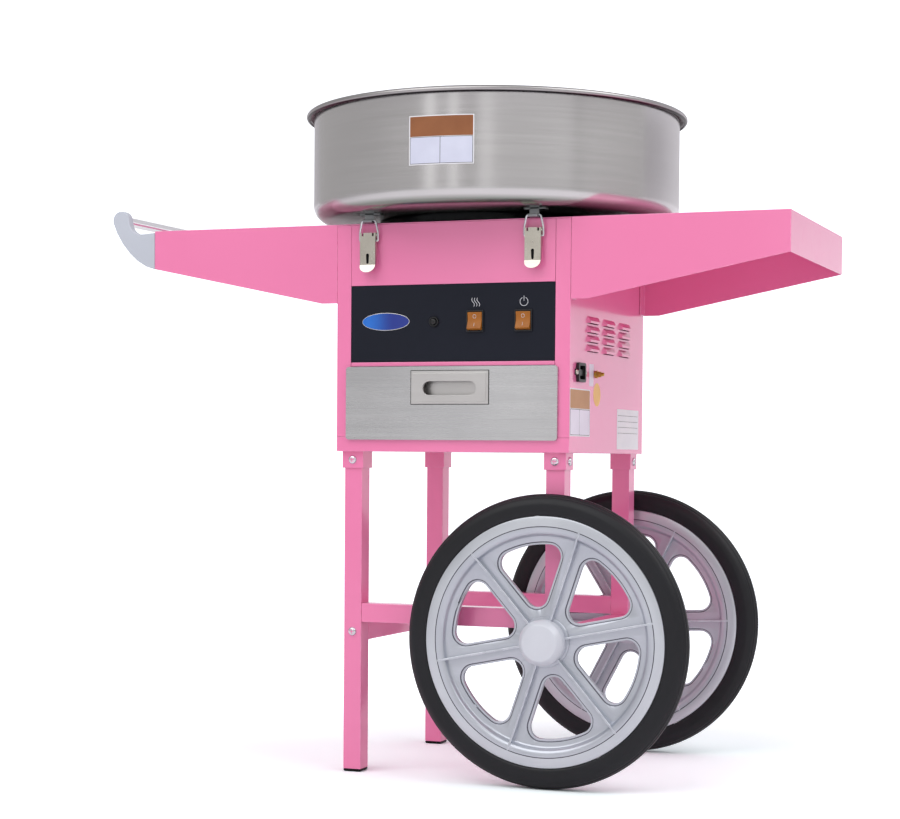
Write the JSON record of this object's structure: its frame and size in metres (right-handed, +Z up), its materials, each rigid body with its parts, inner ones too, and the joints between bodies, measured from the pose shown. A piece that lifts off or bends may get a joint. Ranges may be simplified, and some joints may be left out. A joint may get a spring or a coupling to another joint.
{
  "type": "candy floss machine on a cart",
  "caption": "Electric candy floss machine: wide round bowl over a square sheet steel cabinet with a drawer, folding latches, side wings and a push handle, on a cart with spoked wheels.",
  "frame": {"origin": "on the floor, under the middle of the cart's length and depth", "axes": "+X along the cart away from its push handle, +Y from the front with the drawer to the back, +Z up"},
  "size_m": [0.952, 0.52, 0.885],
  "materials": {
    "pink_paint": "gloss powder coat",
    "black_panel": "satin",
    "switch_black": "gloss moulded",
    "rocker_orange": "gloss translucent",
    "brushed_steel": "brushed",
    "nickel": "satin nickel plate",
    "chrome": "polished",
    "brass": "turned",
    "spun_aluminium": "satin turned",
    "heater_alloy": "heat tinted matt",
    "axle_steel": "bright drawn bar",
    "black_rubber": "matt moulded",
    "tyre_black": "matt moulded",
    "wheel_silver": "silver grey satin",
    "grey_plastic": "satin",
    "black_plastic": "satin",
    "motor_black": "painted"
  },
  "bodies": {
    "cart": {"base_pan": "pink_paint", "left_side_panel": "pink_paint", "right_side_panel": "pink_paint", "top_deck": "pink_paint", "upper_front_panel": "pink_paint", "back_panel": "pink_paint", "drawer_shelf": "pink_paint", "control_panel": "black_panel", "power_switch_housing": "switch_black", "heat_switch_housing": "switch_black", "power_inlet": "switch_black", "earth_terminal": "brass", "drawer_runner_left": "brushed_steel", "drawer_runner_right": "brushed_steel", "bowl_seal": "black_rubber", "bowl": "brushed_steel", "right_wing": "pink_paint", "left_wing": "pink_paint", "handle_plate_front": "grey_plastic", "handle_plate_back": "grey_plastic", "handle_bar": "chrome", "leg_left_front": "pink_paint", "leg_left_back": "pink_paint", "leg_right_front": "pink_paint", "leg_right_back": "pink_paint", "foot_left_front": "black_plastic", "foot_left_back": "black_plastic", "front_bar": "pink_paint", "back_bar": "pink_paint", "left_side_bar": "pink_paint", "right_side_bar": "pink_paint", "axle": "axle_steel", "motor": "motor_black", "motor_mount": "brushed_steel", "brush_holder": "black_plastic"},
    "front_wheel": {"wheel_front": "wheel_silver", "tyre_front": "tyre_black"},
    "back_wheel": {"wheel_back": "wheel_silver", "tyre_back": "tyre_black"},
    "spinner": {"spindle": "axle_steel", "slip_rings": "brass", "spinner_cup": "spun_aluminium", "heater_band": "heater_alloy", "spinner_cap": "spun_aluminium"},
    "drawer": {"drawer_box": "brushed_steel", "drawer_front": "brushed_steel", "drawer_pull": "grey_plastic"},
    "power_rocker": {"power_switch_rocker": "rocker_orange"},
    "heat_rocker": {"heat_switch_rocker": "rocker_orange"},
    "reset": {"reset_button": "switch_black"},
    "lever_front_left": {"latch_lever_front_left": "nickel"},
    "lever_front_right": {"latch_lever_front_right": "nickel"},
    "lever_back_left": {"latch_lever_back_left": "nickel"},
    "lever_back_right": {"latch_lever_back_right": "nickel"},
    "loop_front_left": {"latch_loop_front_left": "nickel"},
    "loop_front_right": {"latch_loop_front_right": "nickel"},
    "loop_back_left": {"latch_loop_back_left": "nickel"},
    "loop_back_right": {"latch_loop_back_right": "nickel"}
  },
  "joints": [
    {"name": "front_wheel_spin", "type": "hinge", "parent": "cart", "child": "front_wheel", "pos_m": [0.172, -0.184, 0.188], "axis": [0, 1, 0], "continuous": true},
    {"name": "back_wheel_spin", "type": "hinge", "parent": "cart", "child": "back_wheel", "pos_m": [0.172, 0.184, 0.188], "axis": [0, 1, 0], "continuous": true},
    {"name": "spinner_spin", "type": "hinge", "parent": "cart", "child": "spinner", "pos_m": [0.03, 0, 0.8], "axis": [0, 0, 1], "continuous": true},
    {"name": "drawer_slide", "type": "slide", "parent": "cart", "child": "drawer", "axis": [0, -1, 0], "range_m": [0, 0.23]},
    {"name": "power_rocker_tilt", "type": "hinge", "parent": "cart", "child": "power_rocker", "pos_m": [0.13, -0.1633, 0.5975], "axis": [1, 0, 0], "range_deg": [0, 18]},
    {"name": "heat_rocker_tilt", "type": "hinge", "parent": "cart", "child": "heat_rocker", "pos_m": [0.0635, -0.1633, 0.5975], "axis": [1, 0, 0], "range_deg": [0, 18]},
    {"name": "reset_press", "type": "slide", "parent": "cart", "child": "reset", "axis": [0, 1, 0], "range_m": [0, 0.002], "stiffness_N_per_m": 300},
    {"name": "lever_front_left_lift", "type": "hinge", "parent": "cart", "child": "lever_front_left", "pos_m": [-0.085, -0.169, 0.7125], "axis": [-1, 0, 0], "range_deg": [0, 90]},
    {"name": "lever_front_right_lift", "type": "hinge", "parent": "cart", "child": "lever_front_right", "pos_m": [0.145, -0.169, 0.7125], "axis": [-1, 0, 0], "range_deg": [0, 90]},
    {"name": "lever_back_left_lift", "type": "hinge", "parent": "cart", "child": "lever_back_left", "pos_m": [-0.085, 0.169, 0.7125], "axis": [1, 0, 0], "range_deg": [0, 90]},
    {"name": "lever_back_right_lift", "type": "hinge", "parent": "cart", "child": "lever_back_right", "pos_m": [0.145, 0.169, 0.7125], "axis": [1, 0, 0], "range_deg": [0, 90]},
    {"name": "loop_front_left_swing", "type": "hinge", "parent": "lever_front_left", "child": "loop_front_left", "pos_m": [-0.085, -0.1684, 0.7045], "axis": [-1, 0, 0], "range_deg": [-75, 0]},
    {"name": "loop_front_right_swing", "type": "hinge", "parent": "lever_front_right", "child": "loop_front_right", "pos_m": [0.145, -0.1684, 0.7045], "axis": [-1, 0, 0], "range_deg": [-75, 0]},
    {"name": "loop_back_left_swing", "type": "hinge", "parent": "lever_back_left", "child": "loop_back_left", "pos_m": [-0.085, 0.1684, 0.7045], "axis": [1, 0, 0], "range_deg": [-75, 0]},
    {"name": "loop_back_right_swing", "type": "hinge", "parent": "lever_back_right", "child": "loop_back_right", "pos_m": [0.145, 0.1684, 0.7045], "axis": [1, 0, 0], "range_deg": [-75, 0]}
  ],
  "couplings": [
    {"joint": "loop_front_left_swing", "follows": "lever_front_left_lift", "ratio": -0.82},
    {"joint": "loop_front_right_swing", "follows": "lever_front_right_lift", "ratio": -0.82},
    {"joint": "loop_back_left_swing", "follows": "lever_back_left_lift", "ratio": -0.82},
    {"joint": "loop_back_right_swing", "follows": "lever_back_right_lift", "ratio": -0.82}
  ]
}
